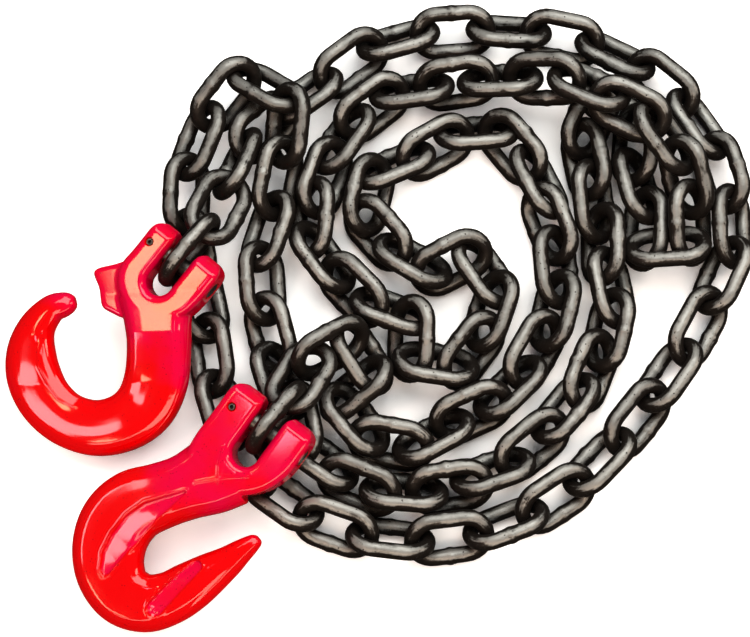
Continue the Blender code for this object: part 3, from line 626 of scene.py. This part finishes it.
def hook_matrix(hook):
    """The hook's own axes and load pin, from its hinge and the flat top of its fork."""
    joint = next(joint for joint in frame["joints"] if joint["name"] == hook["name"] + "_swing")
    pin, v = Vector(joint["pos_m"]), Vector(joint["axis"]).normalized()
    faces = flat_faces(hook["name"] + "_hook")[0]
    top = next(Vector(normal) for _, normal, _ in faces
               if normal[2] > 0.5 and abs(v.dot(Vector(normal))) < 0.001)
    w = (top - v * top.dot(v)).normalized()
    return Matrix.Translation(pin) @ Matrix((v.cross(w), v, w)).transposed().to_4x4()


def loft(mesh, rings):
    """Join rings of points with faces and close both ends."""
    rows = [[mesh.verts.new(point) for point in points] for points in rings]
    count = len(rows[0])
    for first, second in zip(rows, rows[1:]):
        for i in range(count):
            n = (i + 1) % count
            mesh.faces.new((first[i], first[n], second[n], second[i]))
    mesh.faces.new(rows[0][::-1])
    mesh.faces.new(rows[-1])
    bmesh.ops.recalc_face_normals(mesh, faces=mesh.faces)


def mesh_object(name, mesh):
    data = bpy.data.meshes.new(name)
    mesh.to_mesh(data)
    mesh.free()
    return new_object(name, data)


def applied(item):
    """Turn an object's modifiers into its mesh."""
    bpy.context.view_layer.update()
    result = bpy.data.meshes.new_from_object(item.evaluated_get(bpy.context.evaluated_depsgraph_get()))
    item.modifiers.clear()
    item.data = result
    return item


def joined(target, tools, operation):
    """The target after a Boolean with each tool, which is then removed."""
    for tool in tools:
        cut = target.modifiers.new("cut", "BOOLEAN")
        cut.operation = operation
        cut.solver = "EXACT"
        cut.object = tool
    applied(target)
    for tool in tools:
        bpy.data.objects.remove(tool)
    return target


def prism(name, outline, low, high, along_w, bevel=0.0):
    """A plate with this outline, thick along w, or along v for a side outline."""
    mesh = bmesh.new()
    if along_w:
        loft(mesh, [[Vector((a, b, level)) for a, b in outline] for level in (low, high)])
    else:
        loft(mesh, [[Vector((a, level, b)) for a, b in outline] for level in (low, high)])
    if bevel:
        flat = 2 if along_w else 1
        rims = [edge for edge in mesh.edges if abs(edge.verts[0].co[flat] - edge.verts[1].co[flat]) < 1e-6]
        bmesh.ops.bevel(mesh, geom=rims, offset=bevel, segments=4, profile=0.5, affect="EDGES")
        bmesh.ops.recalc_face_normals(mesh, faces=mesh.faces)
    return mesh_object(name, mesh)


def turned(name, rings, axis, sides=48):
    """A turned piece: its rings are places along v or w, and radii. It stands at u, v of axis."""
    mesh = bmesh.new()
    rows = []
    for place, radius in rings:
        row = []
        for k in range(sides):
            a = math.tau * k / sides
            x, y = radius * math.cos(a), radius * math.sin(a)
            row.append(Vector((x, place, y)) if axis is None else Vector((axis[0] + x, axis[1] + y, place)))
        rows.append(row)
    loft(mesh, rows)
    return mesh_object(name, mesh)


def rounded(outline, turns=3):
    """An outline with its corners cut smooth."""
    points = [Vector(point) for point in outline]
    for _ in range(turns):
        points = [point.lerp(points[(k + step) % len(points)], 0.25)
                  for k, point in enumerate(points) for step in (-1, 1)]
    return [tuple(point) for point in points]


def smooth_stations(stations, steps):
    """More stations along a smooth curve through the given ones."""
    rows = [np.array(row) for row in stations]
    rows = [2 * rows[0] - rows[1]] + rows + [2 * rows[-1] - rows[-2]]
    result = []
    for k in range(1, len(rows) - 2):
        p, q, r, s = rows[k - 1:k + 3]
        for step in range(steps):
            t = step / steps
            result.append(0.5 * (2 * q + (r - p) * t + (2 * p - 5 * q + 4 * r - s) * t ** 2
                                 + (3 * q - p - 3 * r + s) * t ** 3))
    return result + [rows[-2]]


def body_section(half_width, half_height, shoulder, crown):
    """One quarter of the body's section, from its side to its top: flat, with a sloped shoulder."""
    slope = min(shoulder, NARROW * half_width)
    crown *= min(1.0, max(0.0, (EAR_HEIGHT - half_height) / CROWN_FADE))
    side = [(half_width - inward * slope, upward * half_height) for inward, upward in SHOULDER]
    return side + [(half_width - slope, (0.99 - crown) * half_height),
                   (0.5 * (half_width - slope), (1.0 - 0.2 * crown) * half_height)]


def hook_body(hook, sizes):
    """The bent body of the hook from its tip into its fork."""
    stations = smooth_stations(hook["body"], 6)
    run = np.gradient(np.array([station[:2] for station in stations]), axis=0)
    run /= np.linalg.norm(run, axis=1)[:, None]
    rings = []
    for (u, v, half_width, half_height), (ru, rv) in zip(stations, run):
        quarter = body_section(half_width, half_height, sizes.shoulder, hook["crown"])
        upper = quarter + [(0.0, half_height)] + [(-x, y) for x, y in quarter[::-1]]
        section = upper + [(x, -y) for x, y in upper[-2:0:-1]]
        rings.append([Vector((u - rv * x, v + ru * x, y)) for x, y in section])
    mesh = bmesh.new()
    loft(mesh, rings)
    return mesh_object(hook["name"] + "_body", mesh)


def ear_outline(hook, height):
    """The fork seen from its side: straight above and below, round about the load pin."""
    nose, back, steps = hook["nose"], -0.060, 24
    start = math.asin(height / nose)
    turns = [start - 2 * start * k / steps for k in range(steps + 1)]
    return [(back, -height), (back, height)] + [(nose * math.cos(a), nose * math.sin(a)) for a in turns]


def path_distance(points, path):
    """Distance of each u, v from a path, the width of the band along it there, and the side it is on."""
    best, wide, side = np.full(len(points), 1.0), np.zeros(len(points)), np.zeros(len(points))
    path = np.array([(*place, 0.0)[:3] for place in path])
    for first, second in zip(path, path[1:]):
        step = second[:2] - first[:2]
        share = np.clip((points - first[:2]) @ step / (step @ step), 0, 1)
        nearest = first[:2] + share[:, None] * step
        width = first[2] + share * (second[2] - first[2])
        gap = np.linalg.norm(points - nearest, axis=1)
        nearer = gap - width < best - wide
        best[nearer], wide[nearer] = gap[nearer], width[nearer]
        left = step[0] * (points - first[:2])[:, 1] - step[1] * (points - first[:2])[:, 0]
        side[nearer] = np.sign(left[nearer])
    return best, wide, side


def smooth_step(value):
    value = np.clip(value, 0, 1)
    return value * value * (3 - 2 * value)


def carve(item, hook, sizes):
    """Sink the dished panels, raise their rims and the lines, fold both flat sides at the crease, and
    mark where the enamel gathers."""
    data = item.data
    count = len(data.vertices)
    points, normals = np.empty(count * 3), np.empty(count * 3)
    data.vertices.foreach_get("co", points)
    data.vertex_normals.foreach_get("vector", normals)
    points, normals = points.reshape(-1, 3), normals.reshape(-1, 3)
    facing = smooth_step((np.abs(normals[:, 2]) - FLAT_FROM) / FLAT_OVER) * np.sign(points[:, 2])
    gathered = smooth_step((points[:, 0] - GATHER_FROM) / GATHER_OVER)
    change = np.zeros(count)
    for panel in hook["panels"]:
        gap, width, side = path_distance(points[:, :2], panel)
        sunk = smooth_step((width - gap) / PANEL_WALL)
        gathered = np.maximum(gathered, sunk)
        change -= sizes.panel * sunk * (1 - PANEL_TILT * side * np.clip(gap / width, 0, 1))
        change += sizes.rim * np.exp(-((gap - width) / RIM_WIDTH) ** 2)
    for line in hook["lines"]:
        change += sizes.line * np.exp(-(path_distance(points[:, :2], line)[0] / LINE_WIDTH) ** 2)
    if hook["crease"]:
        crease = hook["crease"]
        first, second = np.array(crease["first"]), np.array(crease["second"])
        ahead = np.array((first[1] - second[1], second[0] - first[0])) / np.linalg.norm(second - first)
        way = (points[:, :2] - first) @ ahead
        change += np.where(way > 0, crease["rise"] * np.clip(1 - way / crease["web"], 0, 1),
                           crease["rise"] - crease["fall"] * np.clip(-way / crease["shank"], 0, 1))
    points[:, 2] += facing * change
    data.vertices.foreach_set("co", points.ravel())
    data.update()
    data.attributes.new("gathered", "FLOAT", "POINT").data.foreach_set("value", gathered)


def slot_tool(hook, sizes):
    """What the slot takes away: round at its end, and wider at its mouth and at both its faces."""
    half, height, steps = sizes.slot / 2, sizes.height, 24
    centre, mouth = hook["crotch"] + half, hook["nose"]
    flare = [(2 * height, 0.0034), (height, 0.0030), (height - 0.0012, 0.0014), (height - 0.0036, 0.0)]
    turns = [math.pi * k / steps for k in range(steps + 1)]
    rings = []
    for level, more in [(-level, more) for level, more in flare] + flare[::-1]:
        wide = half + more
        side = [(mouth + 0.012, wide + 0.008), (mouth + 0.001, wide + 0.0035),
                (mouth - 0.003, wide + 0.0010), (mouth - 0.007, wide)]
        end = [(centre - wide * math.sin(a), wide * math.cos(a)) for a in turns]
        ring = side + end + [(u, -v) for u, v in side[::-1]]
        rings.append([Vector((u, v, level)) for u, v in ring])
    mesh = bmesh.new()
    loft(mesh, rings)
    return mesh_object("slot", mesh)


def hook_forging(hook, sizes):
    """Body, fork and latch lug grown together as one forging, with its slot and pin holes."""
    name = hook["name"] + "_forging"
    low, high = hook["ears"]
    height = sizes.height
    item = prism(name, rounded(hook["fork"]), -height, height, True, sizes.soft)
    joined(item, [prism("ears", ear_outline(hook, height), low - PAST, high + PAST, False)], "INTERSECT")
    parts = [hook_body(hook, sizes)]
    if hook["lug"]:
        parts.append(prism("lug", rounded(hook["lug"]), -sizes.lug, sizes.lug, True, sizes.soft / 2))
    joined(item, parts, "UNION")
    joined(item, [slot_tool(hook, sizes)], "DIFFERENCE")
    grain = item.modifiers.new("grain", "REMESH")
    grain.mode = "VOXEL"
    grain.voxel_size = sizes.grain
    soften = item.modifiers.new("soften", "SMOOTH")
    soften.factor = 0.5
    soften.iterations = 7
    applied(item)
    carve(item, hook, sizes)
    settle = item.modifiers.new("settle", "SMOOTH")
    settle.factor = 0.5
    settle.iterations = 1
    bore = PIN / 2 + sizes.room
    small = KEEPER / 2 + sizes.room
    wide = small + 0.0005
    axis = (0.0, hook["keeper_v"])
    mouth = [(2 * height, wide), (height - 0.0004, wide), (height - 0.001, small)]
    joined(item, [
        turned("bore", [(low - PAST, bore), (high + PAST, bore)], None),
        turned("keeper_bore", [(-level, radius) for level, radius in mouth] + mouth[::-1], axis, 28),
    ], "DIFFERENCE")
    item.data.shade_smooth()
    item.data.set_sharp_from_angle(angle=math.radians(42))
    return item


def keeper_pin(hook, sizes):
    """A split spring pin, sunk a little below the ear on both sides."""
    half = sizes.height - 0.0011
    outer, inner, gap = KEEPER / 2, KEEPER / 2 - 0.0009, math.radians(22)
    steps = 26
    turns = [gap / 2 + (math.tau - gap) * k / steps for k in range(steps + 1)]
    section = [(outer * math.cos(a), outer * math.sin(a), 1) for a in turns]
    section += [(inner * math.cos(a), inner * math.sin(a), 0) for a in turns[::-1]]
    rings = []
    for level, pull in ((-half, 0.0003), (-half + 0.0004, 0.0), (half - 0.0004, 0.0), (half, 0.0003)):
        shares = [1 - pull / outer * rim for _, _, rim in section]
        rings.append([Vector((x * share, hook["keeper_v"] + y * share, level))
                      for (x, y, _), share in zip(section, shares)])
    mesh = bmesh.new()
    loft(mesh, rings)
    item = mesh_object(hook["name"] + "_spring_pin", mesh)
    item.data.shade_smooth()
    item.data.set_sharp_from_angle(angle=math.radians(35))
    return item


def load_pin(hook):
    """The load pin, turned, with a chamfer and a centre dimple at each end, and worn by the link."""
    low, high = hook["ears"]
    radius, chamfer, worn = PIN / 2, 0.0007, PIN / 2 - 0.00008
    dimple = ((0.0010, 0.0003), (0.0002, 0.0014), (0.0, 0.0016), (0.0, radius - chamfer), (chamfer, radius))
    rings = [(low + inward, wide) for inward, wide in dimple]
    rings += [(-0.0090, radius), (-0.0086, worn), (0.0086, worn), (0.0090, radius)]
    rings += [(high - inward, wide) for inward, wide in dimple[::-1]]
    item = turned(hook["name"] + "_turned_pin", rings, None)
    item.data.shade_smooth()
    item.data.set_sharp_from_angle(angle=math.radians(35))
    return item


def settle_on_frame(item, hook, node, material):
    """Put a piece of a hook in its place, on its hook's body, in place of its CAD node."""
    item.data.transform(hook_matrix(hook))
    item.data.materials.clear()
    item.data.materials.append(material)
    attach(item, hook["name"])
    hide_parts(node)


class CHAIN_OT_links(bpy.types.Operator):
    """Build the chain's links, three to a piece, round the links of the packed chain"""
    bl_idname = "chain.links"
    bl_label = "Chain links"

    def execute(self, context):
        sizes = context.scene.chain_sizes
        material = material_of("oiled_chain_steel", chain_steel, context.scene.chain_finishes)
        line = link_line(sizes)
        draw = np.random.default_rng(sizes.seed)
        for node in sorted(name for name in frame["nodes"] if name.startswith("chain_run_")):
            item = make_run("links_" + node[-2:], node, sizes, line, draw)
            item.data.materials.append(material)
            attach(item, "chain")
            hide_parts(node)
        return {"FINISHED"}


class CHAIN_OT_sling_hook(bpy.types.Operator):
    """Build the sling hook's forging"""
    bl_idname = "chain.sling_hook"
    bl_label = "Sling hook"

    def execute(self, context):
        scene = context.scene
        settle_on_frame(hook_forging(SLING, scene.hook_sizes), SLING, "sling_hook",
                        material_of("glossy_red_enamel", red_enamel, scene.chain_finishes))
        return {"FINISHED"}


class CHAIN_OT_grab_hook(bpy.types.Operator):
    """Build the grab hook's forging"""
    bl_idname = "chain.grab_hook"
    bl_label = "Grab hook"

    def execute(self, context):
        scene = context.scene
        settle_on_frame(hook_forging(GRAB, scene.hook_sizes), GRAB, "grab_hook",
                        material_of("glossy_red_enamel", red_enamel, scene.chain_finishes))
        return {"FINISHED"}


class CHAIN_OT_pins(bpy.types.Operator):
    """Build the load pins and the spring pins of both hooks"""
    bl_idname = "chain.pins"
    bl_label = "Hook pins"

    def execute(self, context):
        scene = context.scene
        material = material_of("turned_pin_steel", pin_steel, scene.chain_finishes)
        for hook in (SLING, GRAB):
            settle_on_frame(load_pin(hook), hook, hook["name"] + "_load_pin", material)
            settle_on_frame(keeper_pin(hook, scene.hook_sizes), hook, hook["name"] + "_keeper_pin",
                            material)
        return {"FINISHED"}


class CHAIN_OT_stage(bpy.types.Operator):
    """Lay the pale floor, hang the soft lights and set up the camera"""
    bl_idname = "chain.stage"
    bl_label = "Stage"

    def execute(self, context):
        stage = context.scene.chain_stage
        mesh = bmesh.new()
        bmesh.ops.create_grid(mesh, x_segments=8, y_segments=8, size=4.0)
        floor = mesh_object("floor", mesh)
        floor.location.z = -0.0001
        floor.data.materials.append(pale_floor(stage))
        key, side = stage.key, stage.side
        square, oval = "RECTANGLE", "ELLIPSE"
        lights = (
            ("overhead", square, (0.24, 0.60, 1.32), 1.30, 1.30, key, (1.0, 0.98, 0.94)),
            ("warm_patch", square, (-0.650, -0.095, 1.237), 0.11, 0.13, side * 0.12, (1.0, 0.68, 0.36)),
            ("pink_patch", square, (-0.490, -0.270, 1.262), 0.07, 0.06, side * 0.023, (1.0, 0.62, 0.80)),
            ("front_strip", square, (0.02, -0.90, 0.93), 1.80, 0.32, side * 1.7, (1.0, 0.76, 0.60)),
            ("left_side", oval, (-0.855, -0.340, 1.11), 0.15, 0.30, side * 0.22, (1.0, 0.62, 0.64)),
            ("low_patch", oval, (-0.740, -0.54, 1.10), 0.16, 0.12, side * 0.10, (1.0, 0.72, 0.44)),
            ("right_side", square, (1.00, 0.10, 0.75), 0.22, 0.50, side * 0.5, (1.0, 0.78, 0.64)),
        )
        for name, shape, place, width, depth, watts, tint in lights:
            lamp = bpy.data.lights.new(name, "AREA")
            lamp.shape = shape
            lamp.size, lamp.size_y = width, depth
            lamp.energy = watts
            lamp.color = tint
            item = new_object(name, lamp)
            item.location = place
            item.rotation_euler = (-Vector(place)).to_track_quat("-Z", "Y").to_euler()
        world = bpy.data.worlds.new("studio")
        world.use_nodes = True
        back = world.node_tree.nodes["Background"]
        back.inputs["Color"].default_value = (0.95, 0.97, 1.0, 1)
        back.inputs["Strength"].default_value = stage.world
        context.scene.world = world
        context.scene.view_settings.view_transform = "Standard"
        eye = bpy.data.cameras.new("eye")
        eye.sensor_width = 36.0
        eye.lens = eye.sensor_width * stage.distance / (VIEW_WIDTH * stage.pixel)
        eye.clip_start, eye.clip_end = 0.05, 20.0
        camera = new_object("eye", eye)
        down = stage.look_down
        toward_eye = Vector((0, -math.cos(down), math.sin(down)))
        camera.location = Vector(stage.aim) + stage.distance * toward_eye
        camera.rotation_euler = (math.pi / 2 - down, 0, 0)
        context.scene.camera = camera
        return {"FINISHED"}


OPERATORS = (CHAIN_OT_links, CHAIN_OT_sling_hook, CHAIN_OT_grab_hook, CHAIN_OT_pins, CHAIN_OT_stage)
GROUPS = {"chain_sizes": ChainSizes, "hook_sizes": HookSizes, "chain_finishes": Finishes,
          "chain_stage": StageSettings}


class CHAIN_PT_panel(bpy.types.Panel):
    """Sizes, finishes and the steps that build the model"""
    bl_idname = "CHAIN_PT_panel"
    bl_label = "Chain and Clevis Hooks"
    bl_space_type = "VIEW_3D"
    bl_region_type = "UI"
    bl_category = "Chain"

    def draw(self, context):
        for name, group in GROUPS.items():
            box = self.layout.box()
            box.label(text=group.__doc__)
            for key in group.__annotations__:
                box.prop(getattr(context.scene, name), key)
        for operator in OPERATORS:
            self.layout.operator(operator.bl_idname)


def register():
    for item in (*GROUPS.values(), *OPERATORS, CHAIN_PT_panel):
        bpy.utils.register_class(item)
    for name, group in GROUPS.items():
        setattr(bpy.types.Scene, name, PointerProperty(type=group))


def unregister():
    for name in GROUPS:
        delattr(bpy.types.Scene, name)
    for item in (CHAIN_PT_panel, *OPERATORS[::-1], *list(GROUPS.values())[::-1]):
        bpy.utils.unregister_class(item)


def main():
    register()
    bpy.ops.chain.links()
    bpy.ops.chain.sling_hook()
    bpy.ops.chain.grab_hook()
    bpy.ops.chain.pins()
    bpy.ops.chain.stage()


if __name__ == "__main__":
    main()
